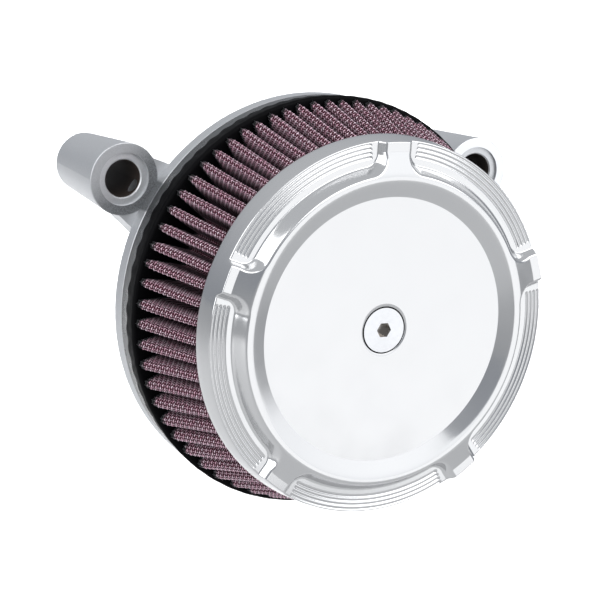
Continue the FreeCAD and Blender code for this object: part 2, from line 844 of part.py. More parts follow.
def make_cover_screw():
    body = new_body("cover_screw")
    sketch = profile_sketch(body, "screw_profile")
    outline(sketch, [
        (ZERO, size.screw_tip),
        (size.screw_radius - size.screw_tip_bevel, size.screw_tip),
        (size.screw_radius, size.screw_tip + size.screw_tip_bevel),
        (size.screw_radius, size.screw_cone_end),
        (size.screw_head_radius, size.screw_head_edge),
        (size.screw_head_radius, size.disc_front),
        (ZERO, size.disc_front),
    ])
    revolve(body, "screw_blank", sketch)
    socket_sketch = face_sketch(body, "screw_hexagon", size.disc_front)
    hexagon(socket_sketch, size.screw_socket)
    pocket(body, "screw_socket", socket_sketch, size.screw_socket_depth)
    return body


def make_screw_seal():
    """A thin cone that fills the gap between the screw's head and its seat in the cover."""
    body = new_body("screw_seal")
    head_rise = size.screw_head_edge - size.screw_cone_end
    head_slope = (size.screw_head_radius - size.screw_radius) / head_rise
    seat_slope = (size.sink_radius - size.sink_bore_radius) / (size.sink_edge - size.sink_bottom)

    def head_radius(forward):
        return size.screw_radius + head_slope * (forward - size.screw_cone_end) + size.seal_gap

    def seat_radius(forward):
        return size.sink_bore_radius + seat_slope * (forward - size.sink_bottom) - size.seal_gap

    sketch = profile_sketch(body, "screw_seal_profile")
    outline(sketch, [
        (head_radius(size.screw_seal_back), size.screw_seal_back),
        (seat_radius(size.screw_seal_back), size.screw_seal_back),
        (seat_radius(size.screw_seal_front), size.screw_seal_front),
        (head_radius(size.screw_seal_front), size.screw_seal_front),
    ])
    revolve(body, "screw_seal_ring", sketch)
    return body


# ---------------------------------------------------------------- assembly and export

def make_parts():
    centre = (ZERO, ZERO)
    right = (size.boss_x, size.boss_z)
    left = (-size.boss_x, size.boss_z)
    boss_rear = size.boss_face - size.boss_length
    parts = [
        make_backplate(),
        make_seal("intake_seal", size.intake_seal_radius, centre, ZERO),
        make_seal("breather_seal_left", size.breather_seal_radius, left, boss_rear),
        make_seal("breather_seal_right", size.breather_seal_radius, right, boss_rear),
        make_bracket(),
        tube("thread_insert", size.insert_radius, size.insert_bore_radius,
             size.bracket_hub_back, size.bracket_hub_front),
    ]
    for number, angle in enumerate(POST_ANGLES, start=1):
        parts.append(make_post(number, angle))
        parts.append(make_washer(number, angle))
        parts.append(make_button_screw(number, angle))
    parts += make_pleated_layers()
    parts.append(make_rear_cap())
    parts.append(make_front_cap())
    parts.append(make_cover())
    parts.append(make_cover_screw())
    parts.append(make_screw_seal())
    return parts


def check_and_write(parts):
    doc.recompute()
    for item in doc.Objects:
        if "Invalid" in item.State or "Error" in item.State:
            raise RuntimeError("%s failed: %s" % (item.Name, item.State))
    for item in parts:
        if item.Shape.isNull() or not item.Shape.isValid() or len(item.Shape.Solids) != 1:
            raise RuntimeError("%s isn't one valid solid" % item.Label)
    for item in parts:
        item.Shape.exportStep("parts/%s.step" % item.Label)
        print("%-22s %10.1f mm3" % (item.Label, item.Shape.Volume))


check_and_write(make_parts())
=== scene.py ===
import json
import math

import bmesh
import bpy
import numpy as np
from mathutils import Matrix, Vector


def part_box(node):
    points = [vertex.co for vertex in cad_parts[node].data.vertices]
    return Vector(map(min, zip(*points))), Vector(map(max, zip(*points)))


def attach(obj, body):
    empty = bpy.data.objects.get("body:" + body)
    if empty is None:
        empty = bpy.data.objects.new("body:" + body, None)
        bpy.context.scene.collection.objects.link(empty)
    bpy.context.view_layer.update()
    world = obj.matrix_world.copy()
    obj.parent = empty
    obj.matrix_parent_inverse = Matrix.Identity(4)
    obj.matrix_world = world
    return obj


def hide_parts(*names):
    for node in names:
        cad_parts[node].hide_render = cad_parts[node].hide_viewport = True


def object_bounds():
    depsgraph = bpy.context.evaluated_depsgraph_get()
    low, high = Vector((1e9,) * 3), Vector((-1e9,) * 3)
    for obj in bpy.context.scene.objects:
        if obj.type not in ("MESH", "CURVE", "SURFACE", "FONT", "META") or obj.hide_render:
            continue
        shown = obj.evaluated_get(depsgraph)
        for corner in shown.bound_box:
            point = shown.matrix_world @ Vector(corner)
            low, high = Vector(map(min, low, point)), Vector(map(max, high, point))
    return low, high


MM = 0.001
SHARP_EDGE = math.radians(50)

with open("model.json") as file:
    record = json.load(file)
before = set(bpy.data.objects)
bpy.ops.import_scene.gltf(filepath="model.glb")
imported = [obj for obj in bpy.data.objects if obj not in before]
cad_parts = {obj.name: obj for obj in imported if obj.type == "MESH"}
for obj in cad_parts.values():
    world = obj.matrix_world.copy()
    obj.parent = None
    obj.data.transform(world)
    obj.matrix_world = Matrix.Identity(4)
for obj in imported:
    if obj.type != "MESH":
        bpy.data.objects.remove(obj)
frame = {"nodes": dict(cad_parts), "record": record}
cad_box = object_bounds()
low = Vector(cad_box[0])
nodes = frame["nodes"]


# ---------------------------------------------------------------- camera, floor and light

def make_camera():
    """The camera looks a little down at the cover, from the left of its face."""
    azimuth, elevation, roll = math.radians(-29.63), math.radians(12.41), math.radians(-4.26)
    distance = 1.03
    aim = Vector((-22.2, -52.7, 6.4)) * MM
    back = Vector((
        math.sin(azimuth) * math.cos(elevation),
        -math.cos(azimuth) * math.cos(elevation),
        math.sin(elevation),
    ))
    level = Vector((math.cos(azimuth), math.sin(azimuth), 0))
    upright = back.cross(level)
    right = level * math.cos(roll) - upright * math.sin(roll)
    up = upright * math.cos(roll) + level * math.sin(roll)
    data = bpy.data.cameras.new("camera")
    data.sensor_width = 36
    data.lens = 155.3
    data.clip_start = 0.05
    data.clip_end = 50
    camera = bpy.data.objects.new("camera", data)
    turned = Matrix((right, up, back)).transposed().to_4x4()
    camera.matrix_world = Matrix.Translation(aim + back * distance) @ turned
    bpy.context.scene.collection.objects.link(camera)
    bpy.context.scene.camera = camera


class Tree:
    """A small helper that adds shader nodes and links them."""

    def __init__(self, tree):
        self.tree = tree
        tree.nodes.clear()

    def add(self, kind, settings=None, **inputs):
        node = self.tree.nodes.new(kind)
        for name, value in (settings or {}).items():
            setattr(node, name, value)
        for name, value in inputs.items():
            self.plug(node, name, value)
        return node

    def plug(self, node, name, value):
        wanted = name.replace("_", " ").lower()
        for index, socket in enumerate(node.inputs):
            if socket.name.lower() == wanted or name == "in%d" % index:
                if isinstance(value, bpy.types.NodeSocket):
                    self.tree.links.new(value, socket)
                else:
                    socket.default_value = value
                return
        raise KeyError("%s has no input %s" % (node.bl_idname, name))

    def math(self, operation, first, second=0.0, third=0.0):
        node = self.add("ShaderNodeMath", {"operation": operation}, in0=first, in1=second, in2=third)
        return node.outputs[0]

    def ramp(self, value, low_in, high_in, low_out=0.0, high_out=1.0):
        """An eased change from low_out to high_out as the value goes from low_in to high_in."""
        node = self.add("ShaderNodeMapRange", {"interpolation_type": "SMOOTHSTEP"})
        for name, number in (("Value", value), ("From Min", low_in), ("From Max", high_in),
                             ("To Min", low_out), ("To Max", high_out)):
            self.plug(node, name, number)
        return node.outputs[0]

    def mix(self, factor, first, second):
        node = self.add("ShaderNodeMix", {"data_type": "RGBA"}, in0=factor)
        for socket, value in ((node.inputs[6], first), (node.inputs[7], second)):
            if isinstance(value, bpy.types.NodeSocket):
                self.tree.links.new(value, socket)
            else:
                socket.default_value = (*value, 1.0)
        return node.outputs[2]

    def noise(self, scale, detail=2.0, roughness=0.5):
        node = self.add("ShaderNodeTexNoise", None, Scale=scale, Detail=detail, Roughness=roughness)
        self.plug(node, "Vector", self.place())
        return node.outputs["Fac"]

    def place(self):
        """The point's place in the row frame, in metres."""
        return self.add("ShaderNodeTexCoord").outputs["Object"]

    def axis(self, index):
        """One coordinate of the point's place: 0 for x, 1 for y or 2 for z."""
        return self.add("ShaderNodeSeparateXYZ", None, Vector=self.place()).outputs[index]

    def rear_facing(self, low_in, high_in):
        """From 0 to 1 as the surface turns to the rear."""
        normal = self.add("ShaderNodeNewGeometry").outputs["Normal"]
        turned = self.add("ShaderNodeSeparateXYZ", None, Vector=normal).outputs["Y"]
        return self.ramp(turned, low_in, high_in)

    def from_axis(self, first, second):
        """How far a point is from an axis, by its two distances across it."""
        squares = self.math("MULTIPLY_ADD", first, first, self.math("MULTIPLY", second, second))
        return self.math("SQRT", squares)

    def bump(self, height, distance, strength):
        node = self.add("ShaderNodeBump", None, Strength=strength, Distance=distance, Height=height)
        return node.outputs[0]

    def surface(self, **inputs):
        shader = self.add("ShaderNodeBsdfPrincipled")
        for name, value in inputs.items():
            if isinstance(value, tuple) and len(value) == 3:
                value = (*value, 1.0)
            self.plug(shader, name, value)
        self.add("ShaderNodeOutputMaterial", None, Surface=shader.outputs[0])


def new_material(name):
    material = bpy.data.materials.new(name)
    material.use_nodes = True
    return material, Tree(material.node_tree)


def area_light(name, size, energy, place, aim, spread=180):
    data = bpy.data.lights.new(name, "AREA")
    data.shape = "RECTANGLE"
    data.size, data.size_y = size
    data.energy = energy
    data.spread = math.radians(spread)
    light = bpy.data.objects.new(name, data)
    light.location = place
    light.rotation_euler = (Vector(aim) - Vector(place)).to_track_quat("-Z", "Y").to_euler()
    bpy.context.scene.collection.objects.link(light)


def make_world():
    """A grey surround, paler overhead, so that polished metal shows both its light and dark sides."""
    world = bpy.data.worlds.new("studio")
    bpy.context.scene.world = world
    world.use_nodes = True
    tree = Tree(world.node_tree)
    direction = tree.add("ShaderNodeTexCoord").outputs["Generated"]
    height = tree.add("ShaderNodeSeparateXYZ", None, Vector=direction).outputs["Z"]
    colour = tree.mix(tree.ramp(height, -0.1, 0.8), (0.36, 0.38, 0.415), (0.68, 0.695, 0.72))
    backdrop = tree.add("ShaderNodeBackground", None, Color=colour)
    tree.add("ShaderNodeOutputWorld", None, Surface=backdrop.outputs[0])


def make_floor():
    """A pale floor, well below the part, that the camera sees as a plain white ground."""
    drop = 0.25
    bpy.ops.mesh.primitive_plane_add(size=14, location=(0, 2, low.z - drop))
    floor = bpy.context.object
    floor.name = "studio_floor"
    material, tree = new_material("pale_floor")
    grain = tree.noise(30.0)
    colour = tree.mix(grain, (0.72, 0.72, 0.72), (0.74, 0.74, 0.74))
    tree.surface(Base_Color=colour, Roughness=0.9)
    floor.data.materials.append(material)


def make_studio():
    bpy.context.scene.view_settings.view_transform = "Standard"
    make_world()
    make_floor()
    area_light("floor_light", (3.9, 5.6), 152, (1.8, 3.35, 1.1), (1.8, 3.35, 0), spread=65)
    area_light("right_box", (0.85, 0.94), 2.45, (0.521, -0.796, 0.14), (-0.059, -0.046, 0.14))
    area_light("top_box", (1.7, 0.95), 12.0, (0.45, -0.85, 0.98), (0, 0, 0.98), spread=130)
    area_light("left_box", (1.0, 1.2), 10.0, (-1.2, -0.4, 0.5), (0, 0, 0))


# ---------------------------------------------------------------- materials of the metal and rubber

def chrome_material():
    """Polished and plated outside; the inside keeps its plain cast grain under the plating."""
    material, tree = new_material("satin_chrome")
    cloud = tree.noise(60.0, 3.0)
    grain = tree.noise(1800.0, 3.0)
    inside = tree.rear_facing(0.3, 0.6)
    cast_grain = tree.mix(grain, (0.42, 0.425, 0.43), (0.54, 0.545, 0.55))
    colour = tree.mix(inside, (0.626, 0.629, 0.634), cast_grain)
    roughness = tree.math("MULTIPLY_ADD", inside, 0.3, tree.ramp(cloud, 0.3, 0.7, 0.10, 0.16))
    tree.surface(Base_Color=colour, Metallic=1.0, Roughness=roughness)
    return material


# The breather bosses: where their axes are, how far to the side a point belongs to one of them, and
# where the painted light and shade start and end at the face, the bore, the recess and the face's outer
# edge.
BOSS_X, BOSS_Z = 82.7 * MM, 48.7 * MM
BOSS_SIDE = 60 * MM
BOSS_FACE = (10.9 * MM, 11.3 * MM)
BORE_EDGE = (7.55 * MM, 7.75 * MM)
RECESS_EDGE = (10.6 * MM, 10.9 * MM)
FACE_EDGE = (14.2 * MM, 14.9 * MM)


def cast_material():
    """Cast and polished, speckled boss faces and clean machined recesses, with painted shade on the left
    boss's face and in the bores and painted light on the right boss's face.
    """
    material, tree = new_material("cast_aluminium")
    sideways, forward = tree.axis(0), tree.math("MULTIPLY", tree.axis(1), -1.0)
    from_boss_x = tree.math("SUBTRACT", tree.math("ABSOLUTE", sideways), BOSS_X)
    from_boss_z = tree.math("SUBTRACT", tree.axis(2), BOSS_Z)
    from_axis = tree.from_axis(from_boss_z, from_boss_x)
    speckle = tree.noise(2400.0, 3.0)
    grit = tree.ramp(tree.noise(2600.0, 4.0, 0.7), 0.35, 0.65)

    on_face = tree.math("MULTIPLY", tree.ramp(forward, *BOSS_FACE), tree.ramp(from_axis, *RECESS_EDGE))
    on_face = tree.math("MULTIPLY", on_face, tree.ramp(from_axis, *FACE_EDGE, 1.0, 0.0))
    # Painted light: the right boss's face is painted whiter.
    painted_light_right_face = tree.math("MULTIPLY", on_face, tree.ramp(sideways, 0.0, BOSS_SIDE))
    # Painted shade: the left boss's face is painted darker and made rougher.
    painted_shade_left_face = tree.math("MULTIPLY", on_face, tree.ramp(sideways, -BOSS_SIDE, BOSS_SIDE, 0.9, 0.0))
    # The painted shade on the left boss's face deepens towards the plate and fades towards its upper left.
    into_painted_shade = tree.math("SUBTRACT", tree.math("ADD", sideways, BOSS_X), from_boss_z)
    painted_shade_left_face = tree.math("MULTIPLY", painted_shade_left_face, tree.ramp(into_painted_shade, -16 * MM, 9 * MM, 0.35, 1.0))
    as_cast = tree.math("MULTIPLY", tree.rear_facing(0.4, 0.7), 0.8)
    # Painted shade: the bores are painted nearly black, with a brown tinge.
    painted_bore_shade = tree.ramp(from_axis, *BORE_EDGE, 1.0, 0.0)

    colour = tree.mix(speckle, (0.52, 0.53, 0.545), (0.68, 0.69, 0.705))
    # Painted light whitens the right boss's face, and painted shade darkens the left one's.
    colour = tree.mix(painted_light_right_face, colour, (0.84, 0.85, 0.87))
    colour = tree.mix(painted_shade_left_face, colour, tree.mix(grit, (0.10, 0.105, 0.11), (0.24, 0.25, 0.265)))
    colour = tree.mix(as_cast, colour, tree.mix(grit, (0.20, 0.205, 0.215), (0.30, 0.31, 0.32)))
    # Painted shade in the bores.
    colour = tree.mix(painted_bore_shade, colour, tree.mix(grit, (0.018, 0.012, 0.009), (0.034, 0.022, 0.017)))
    roughness = tree.math("MULTIPLY_ADD", tree.math("ADD", painted_shade_left_face, painted_bore_shade), 0.2, 0.47)
    metal = tree.ramp(painted_bore_shade, 0.0, 1.0, 0.9, 0.0)
    tree.surface(Base_Color=colour, Metallic=metal, Roughness=roughness,
                 Normal=tree.bump(speckle, 0.0001, 0.3))
    return material


def black_material():
    """Dull black rubber for the moulded rings and the seals."""
    material, tree = new_material("black_urethane")
    cloud = tree.noise(300.0)
    roughness = tree.ramp(cloud, 0.3, 0.7, 0.5, 0.62)
    tree.surface(Base_Color=(0.0025, 0.0025, 0.003), Roughness=roughness, Specular_IOR_Level=0.05,
                 Normal=tree.bump(cloud, 0.0003, 0.3))
    return material


def steel_material():
    """Bright plated steel for the bracket, the posts and their fasteners."""
    material, tree = new_material("plated_steel")
    cloud = tree.noise(500.0)
    roughness = tree.ramp(cloud, 0.3, 0.7, 0.15, 0.28)
    tree.surface(Base_Color=(0.7, 0.7, 0.72), Metallic=1.0, Roughness=roughness)
    return material


def screw_material():
    """The cover screw: a fine turned face round a hexagon socket darkened by painted shade."""
    material, tree = new_material("turned_screw")
    from_axis = tree.from_axis(tree.axis(2), tree.axis(0))
    front = -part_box("cover_screw")[0][1]
    below_face = tree.ramp(tree.math("ADD", tree.axis(1), front), 0.1 * MM, 0.9 * MM)
    # Painted shade: the hexagon socket, below the screw's face, is painted darker.
    socket = tree.math("MULTIPLY", below_face, tree.ramp(from_axis, 3.5 * MM, 3.9 * MM, 1.0, 0.0))
    tool_feed = 0.25 * MM
    turned = tree.math("SINE", tree.math("MULTIPLY", from_axis, 2 * math.pi / tool_feed))
    colour = tree.mix(socket, (0.66, 0.67, 0.69), (0.42, 0.40, 0.38))
    roughness = tree.ramp(tree.noise(500.0), 0.3, 0.7, 0.14, 0.22)
    tree.surface(Base_Color=colour, Metallic=1.0, Roughness=roughness,
                 Normal=tree.bump(turned, 0.00001, 0.3))
    return material


# ---------------------------------------------------------------- the folded element

# How the folds stand round the element: how many there are, where the count starts, and how strongly
# and where they crowd together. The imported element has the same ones.
FOLDS = 67
FOLD_PHASE = math.radians(5.14)
CROWDING, CROWDED_AT = 0.181, math.radians(78.5)

# The sheet: the radii of its crests and valleys at the rear, how much smaller they are at the front,
# how far forward it starts and ends, and its thickness.
TIP_RADIUS, ROOT_RADIUS = 84.0 * MM, 67.2 * MM
TAPER = 0.883
REAR, FRONT = 31.3 * MM, 68.5 * MM
GAUZE = 0.9 * MM

# A fold: its half width as a part of its share of the round, more on one side of the element, how
# much folds differ in lean, height and width, and the length over which their rear ends close up.
HALF_WIDTH, WIDER = 0.165, 0.095
WIDE_AT, WIDE_OVER = math.radians(235), math.radians(45)
LEAN, SHRINK, WIDTH = 0.25 * MM, 0.14 * MM, 0.05
CLOSED_OVER = 5.0 * MM

# The wires: how far apart they are, how many run down each fold from its crest to one side, their
# radii, how far they lie off the sheet, and how far a hoop goes over and under.
PITCH = 1.33 * MM
FIRST_HOOP = REAR + 0.7 * MM
STATIONS = 7
WIRES_PER_FOLD = 2 * STATIONS + 1
VALLEY_POINTS = 3
HOOP_RADIUS, LENGTH_RADIUS = 0.185 * MM, 0.18 * MM
WIRE_SIDES = 3
WIRE_CLEAR, WEAVE_RISE = 0.26 * MM, 0.2 * MM


def fold_angle(turns):
    """Where a fold is, by its count round the element: the folds crowd together on one side."""
    even = 2 * math.pi * turns / FOLDS + FOLD_PHASE
    return even - CROWDING * math.sin(even - CROWDED_AT)


def radial_frame(angle):
    """The outward and the sideways directions at an angle round the axis."""
    return np.array((math.cos(angle), math.sin(angle))), np.array((-math.sin(angle), math.cos(angle)))


class Element:
    """The folded sheet as sections: each row along the axis is one closed loop of the same points."""

    def __init__(self, seed=7):
        chance = np.random.default_rng(seed)
        self.lean = chance.normal(0, LEAN, (FOLDS, 3))
        self.shrink = np.abs(chance.normal(0, SHRINK, (FOLDS, 3)))
        self.width = chance.normal(1, WIDTH, FOLDS)

    def section(self, forward, offset=0.0):
        """The loop at one distance forward, moved outward from the sheet's outer face by offset.

        Each fold has points a wire's pitch apart over its crest and down both sides, and three
        more round the bottom of the next valley. The folds close up towards their rear ends, and
        are a little wider on one side of the element.
        """
        along = min(1.0, max(0.0, (forward - REAR) / (FRONT - REAR)))
        weights = np.array(((1 - along) ** 2, 2 * along * (1 - along), along ** 2))
        close = min(1.0, max(0.0, 1 - (forward - REAR) / CLOSED_OVER)) ** 2
        scale = 1 - (1 - TAPER) * (forward - REAR) / (FRONT - REAR)
        points = []
        for number in range(FOLDS):
            out, side = radial_frame(fold_angle(number))
            pitch = TIP_RADIUS * (fold_angle(number + 0.5) - fold_angle(number - 0.5))
            half = pitch * self.width[number] * (1 - 0.3 * close)
            half *= HALF_WIDTH + WIDER * math.exp(-((fold_angle(number) - WIDE_AT) / WIDE_OVER) ** 2)
            reach = TIP_RADIUS - self.shrink[number] @ weights - 0.3 * MM * close - half
            centre = out * reach + side * (self.lean[number] @ weights)
            valleys = [self.valley(number + turns) for turns in (-0.5, 0.5)]
            for step in range(-STATIONS, STATIONS + 1):
                run = abs(step) * PITCH - half * math.pi / 2
                if run <= 0:
                    turn = step * PITCH / half
                    points.append(centre + half * (out * math.cos(turn) + side * math.sin(turn)))
                    continue
                sign = 1 if step > 0 else -1
                shoulder = centre + side * half * sign
                target = valleys[sign > 0][0 if sign > 0 else -1]
                flank = target - shoulder
                points.append(shoulder + flank * min(0.97, run / np.linalg.norm(flank)))
            points += valleys[1]
        loop = np.array(points)
        edge = np.roll(loop, -1, 0) - np.roll(loop, 1, 0)
        normal = np.stack((edge[:, 1], -edge[:, 0]), 1)
        normal /= np.linalg.norm(normal, axis=1)[:, None]
        loop = (loop + normal * np.reshape(offset, (-1, 1))) * scale
        return np.stack((loop[:, 0], np.full(len(loop), -forward), loop[:, 1]), 1)

    def valley(self, turns):
        """The bottom of the valley between two folds, as three points round it."""
        out, side = radial_frame(fold_angle(turns))
        gap = 0.13 * TIP_RADIUS * (fold_angle(turns + 0.5) - fold_angle(turns - 0.5))
        shoulder = out * (ROOT_RADIUS + gap)
        return [shoulder - side * gap, out * ROOT_RADIUS, shoulder + side * gap]


def mesh_object(name, points, faces, material):
    mesh = bpy.data.meshes.new(name)
    mesh.from_pydata([tuple(point) for point in points], [], faces)
    mesh.validate()
    bm = bmesh.new()
    bm.from_mesh(mesh)
    bmesh.ops.recalc_face_normals(bm, faces=bm.faces)
    bm.to_mesh(mesh)
    bm.free()
    mesh.polygons.foreach_set("use_smooth", [True] * len(mesh.polygons))
    mesh.materials.append(material)
    piece = bpy.data.objects.new(name, mesh)
    bpy.context.scene.collection.objects.link(piece)
    return piece


def grid_faces(rows, columns):
    """Quads between neighbouring rows of points: each row is a closed loop, and so are the rows together."""
    faces = []
    for row in range(rows):
        here, there = row * columns, (row + 1) % rows * columns
        for column in range(columns):
            after = (column + 1) % columns
            faces.append((here + column, here + after, there + after, there + column))
    return faces


def make_gauze(element, material):
    """The gauze sheet as a closed shell: its outer face forward, then its inner face back."""
    forwards = REAR + MM * np.array((-0.8, 0.4, 1.2, 2.4, 4.0, 6.5, 12, 18, 24, 30, 36, 38))
    rows = [element.section(forward) for forward in forwards]
    rows += [element.section(forward, -GAUZE) for forward in forwards[::-1]]
    faces = grid_faces(len(rows), len(rows[0]))
    return mesh_object("pleat_gauze", np.concatenate(rows), faces, material)


def tubes(paths, radius, closed):
    """Thin wires along paths, all with the same number of points."""
    paths = np.asarray(paths)
    if closed:
        tangent = np.roll(paths, -1, 1) - np.roll(paths, 1, 1)
    else:
        tangent = np.gradient(paths, axis=1)
    tangent /= np.linalg.norm(tangent, axis=2)[..., None]
    guide = np.zeros_like(paths)
    guide[..., 1] = 1.0 if closed else 0.0
    if not closed:
        guide[..., 0], guide[..., 2] = paths[..., 0], paths[..., 2]
    across = np.cross(tangent, guide)
    across /= np.linalg.norm(across, axis=2)[..., None]
    up = np.cross(across, tangent)
    turns = np.arange(WIRE_SIDES) * 2 * math.pi / WIRE_SIDES + math.pi / WIRE_SIDES
    ring = across[:, :, None] * np.cos(turns)[:, None] + up[:, :, None] * np.sin(turns)[:, None]
    points = paths[:, :, None] + radius * ring
    number, length = paths.shape[:2]
    index = np.arange(number * length * WIRE_SIDES).reshape(number, length, WIRE_SIDES)
    if closed:
        here, there = index, np.roll(index, -1, 1)
    else:
        here, there = index[:, :-1], index[:, 1:]
    quads = np.stack((here, np.roll(here, -1, 2), np.roll(there, -1, 2), there), -1)
    faces = quads.reshape(-1, 4).tolist()
    if not closed:
        faces += index[:, 0].tolist() + index[:, -1].tolist()
    return points.reshape(-1, 3), faces


def make_hoops(name, hoops, heights, material):
    """Hoops as one piece that keeps how high each point lies in the weave, from 0 under to 1 over."""
    points, faces = tubes(hoops, HOOP_RADIUS, closed=True)
    piece = mesh_object(name, points, faces, material)
    attribute = piece.data.attributes.new("height", "FLOAT", "POINT")
    attribute.data.foreach_set("value", np.repeat(heights, WIRE_SIDES))
    return piece


def make_screen(element, name, offset, hoop_wire, length_wire):
    """A plain woven wire screen on the sheet: hoops round it, over and under its lengthwise wires."""
    per_fold = WIRES_PER_FOLD + VALLEY_POINTS
    station = np.arange(FOLDS * per_fold) % per_fold
    on_wire = station < WIRES_PER_FOLD
    over_under = np.where(on_wire, 1 - 2.0 * (station % 2), 0.0)
    forwards = np.arange(FIRST_HOOP, FRONT + 0.3 * MM, PITCH)
    weave = np.outer(1 - 2 * (np.arange(len(forwards)) % 2), over_under)
    hoops = [element.section(forward, offset + WEAVE_RISE * row) for forward, row in zip(forwards, weave)]
    heights = weave * 0.5 + 0.5
    middle = len(hoops) // 2
    ends = REAR + MM * np.array((-0.5, 0.5, 1.6, 3.2, 5.5, 14, 26, 38))
    rows = np.array([element.section(forward, offset) for forward in ends])
    points, faces = tubes(rows[:, on_wire].transpose(1, 0, 2), LENGTH_RADIUS, closed=False)
    return [
        make_hoops(name + "_rear_hoops", hoops[:middle], heights[:middle], hoop_wire),
        make_hoops(name + "_front_hoops", hoops[middle:], heights[middle:], hoop_wire),
        mesh_object(name + "_lengths", points, faces, length_wire),
    ]


def soak(tree):
    """How far the moulded black ring has soaked into the folds' rear ends, from 0 to 1."""
    forward = tree.math("MULTIPLY", tree.axis(1), -1.0)
    ragged = tree.math("MULTIPLY_ADD", tree.noise(900.0, 2.0), 3.2 * MM, forward)
    return tree.ramp(ragged, 34.3 * MM, 36.6 * MM, 1.0, 0.0)


def clear_of_painted_shade(tree):
    """From 0 deep between the folds, where the painted shade lies, to 1 at their outer and inner crests."""
    forward = tree.math("MULTIPLY_ADD", tree.axis(1), -1.0, -REAR)
    scale = tree.math("MULTIPLY_ADD", forward, -(1 - TAPER) / (FRONT - REAR), 1.0)
    radius = tree.math("DIVIDE", tree.from_axis(tree.axis(0), tree.axis(2)), scale)
    outer = tree.ramp(radius, TIP_RADIUS - 9 * MM, TIP_RADIUS - 0.8 * MM)
    inner = tree.ramp(radius, ROOT_RADIUS + 0.4 * MM, ROOT_RADIUS + 3.4 * MM, 1.0, 0.0)
    return tree.math("MAXIMUM", outer, inner)


def gauze_material():
    """Oiled red cotton, nearly black with painted shade deep between the folds, and nearly black where the
    black ring has soaked in.
    """
    material, tree = new_material("red_gauze")
    weave = tree.noise(1500.0)
    colour = tree.mix(weave, (0.025, 0.0022, 0.007), (0.10, 0.013, 0.03))
    # Painted shade: nearly black deep between the folds.
    colour = tree.mix(clear_of_painted_shade(tree), (0.010, 0.001, 0.0028), colour)
    colour = tree.mix(soak(tree), colour, (0.006, 0.006, 0.006))
    tree.surface(Base_Color=colour, Roughness=0.9, Normal=tree.bump(weave, 0.0002, 0.6))
    return material


def hoop_height(tree):
    """How high a hoop's point lies in the weave, as make_hoops keeps it; it sets where the painted highlight
    goes.
    """
    return tree.add("ShaderNodeAttribute", {"attribute_name": "height"}).outputs["Fac"]


def length_height(tree):
    """1 where a hoop crosses, for the painted highlight there, and 0 between: the hoops that pass over hide
    every other one of these places.
    """
    forward = tree.math("MULTIPLY_ADD", tree.axis(1), -1.0, -FIRST_HOOP)
    wave = tree.math("COSINE", tree.math("MULTIPLY", forward, 2 * math.pi / PITCH))
    return tree.math("MULTIPLY_ADD", wave, 0.5, 0.5)


def wire_material(name, low, dark, light, height):
    """Coated wire: a painted highlight where it passes over, painted shade where it runs down between
    crossings and deep between the folds.
    """
    material, tree = new_material(name)
    patch = tree.noise(700.0, 2.0)
    colour = tree.mix(tree.ramp(patch, 0.35, 0.65), dark, light)
    # Painted highlight and shade: the low colour where the wire lies under, its lighter tones where it
    # passes over.
    colour = tree.mix(tree.ramp(height(tree), 0.25, 0.75), low, colour)
    # Painted shade deep between the folds.
    colour = tree.mix(clear_of_painted_shade(tree), tree.mix(0.82, colour, (0.012, 0.002, 0.005)), colour)
    colour = tree.mix(soak(tree), colour, (0.03, 0.032, 0.034))
    tree.surface(Base_Color=colour, Metallic=0.4, Roughness=0.34)
    return material


# The ring's section, in mm: the radius and distance forward of each point, and how far a fold's
# ripple moves it outward and forward. The listed strips of faces after the profile are a shinier band of
# its side, painted dark grey as a painted reflection.
RING_REAR, RING_STEP, RING_FRONT = 13.0, 17.0, 31.3
RING_PROFILE = (
    (64.5, RING_FRONT, 0, 0), (64.5, RING_REAR, 0, 0), (79.2, RING_REAR, 0, 0), (79.2, RING_STEP, 0, 0),
    (83.15, RING_STEP, 0, 0), (83.4, 17.25, 0, 0), (83.85, 22.7, 0, 0.5), (83.95, 23.1, 0, 0.5),
    (84.3, 25.5, 0.02, 0), (85.02, 29.6, 0.05, 0), (85.07, 30.3, 0.05, 0), (84.9, 30.9, 0.05, 0),
    (84.4, RING_FRONT, 0.05, 0), (83.6, RING_FRONT, 0, 0),
)
PAINTED_REFLECTION_STRIPS = (4, 5, 6)
RING_STEPS = 8


def moulded_edge_material():
    """The black ring's outer side, which shines more than its rear and front and is painted dark grey as a
    painted reflection.
    """
    material, tree = new_material("painted_reflection_edge")
    cloud = tree.noise(150.0, 2.0)
    roughness = tree.ramp(cloud, 0.3, 0.7, 0.24, 0.34)
    # Painted reflection: dark grey in place of the ring's black.
    tree.surface(Base_Color=(0.05, 0.052, 0.055), Roughness=roughness, Normal=tree.bump(cloud, 0.0004, 0.4))
    return material


def make_cap_ring():
    """The moulded ring round the folds' rear ends: its side ripples where each fold stands in it."""
    points, faces = [], []
    rows, columns = len(RING_PROFILE), FOLDS * RING_STEPS
    for column in range(columns):
        turns = column / RING_STEPS
        out, _ = radial_frame(fold_angle(turns))
        wave = math.cos(2 * math.pi * turns)
        for radius, forward, ripple, drift in RING_PROFILE:
            reach = (radius + ripple * wave) * MM
            points.append((out[0] * reach, -(forward + drift * wave) * MM, out[1] * reach))
    for column in range(columns):
        here, there = column * rows, (column + 1) % columns * rows
        for row in range(rows):
            after = (row + 1) % rows
            faces.append((here + row, there + row, there + after, here + after))
    rubber = nodes["rear_end_cap"].material_slots[0].material
    ring = mesh_object("rear_cap_ring", points, faces, rubber)
    ring.data.materials.append(moulded_edge_material())
    # The shinier band with the painted reflection gets the second material.
    for polygon in ring.data.polygons:
        polygon.material_index = int(polygon.index % rows in PAINTED_REFLECTION_STRIPS)
    ring.data.set_sharp_from_angle(angle=SHARP_EDGE)
    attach(ring, "filter")
    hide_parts("rear_end_cap")


